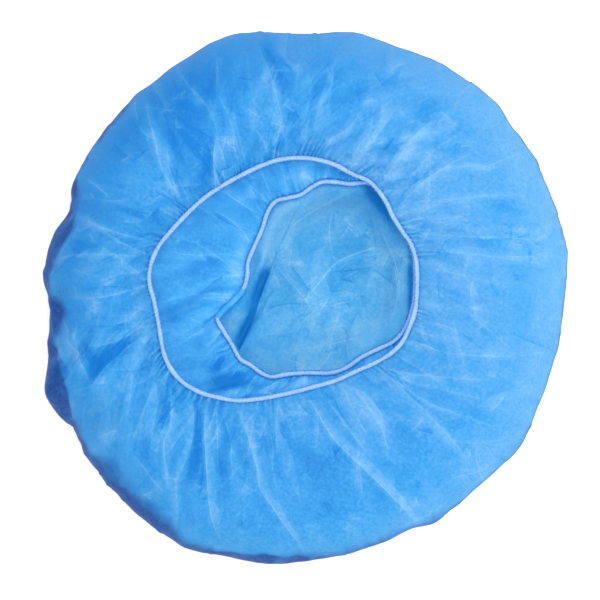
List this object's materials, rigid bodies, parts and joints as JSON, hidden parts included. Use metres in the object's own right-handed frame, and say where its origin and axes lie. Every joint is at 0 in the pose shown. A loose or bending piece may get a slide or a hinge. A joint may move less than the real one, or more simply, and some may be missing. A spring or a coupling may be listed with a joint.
{
  "type": "surgical cap",
  "caption": "Round disposable non-woven bouffant cap of two cloth layers, lying on its crown with its gathered elastic mouths up.",
  "frame": {"origin": "below the middle of the cap's outline, on the surface that the flattened crown rests on", "axes": "+Z up, out of the mouth; +X to the right and +Y up in the reference view, which looks straight down"},
  "size_m": [0.3166, 0.3232, 0.059],
  "materials": {
    "outer_cloth": "thin spun non-woven cloth, matt, light blue",
    "inner_cloth": "thin spun non-woven cloth, matt, light blue",
    "elastic_cord": "yarn-covered elastic, matt, bluish white"
  },
  "bodies": {
    "root": {"outer_layer": "outer_cloth", "inner_layer": "inner_cloth", "outer_elastic": "elastic_cord", "inner_elastic": "elastic_cord"}
  },
  "joints": []
}
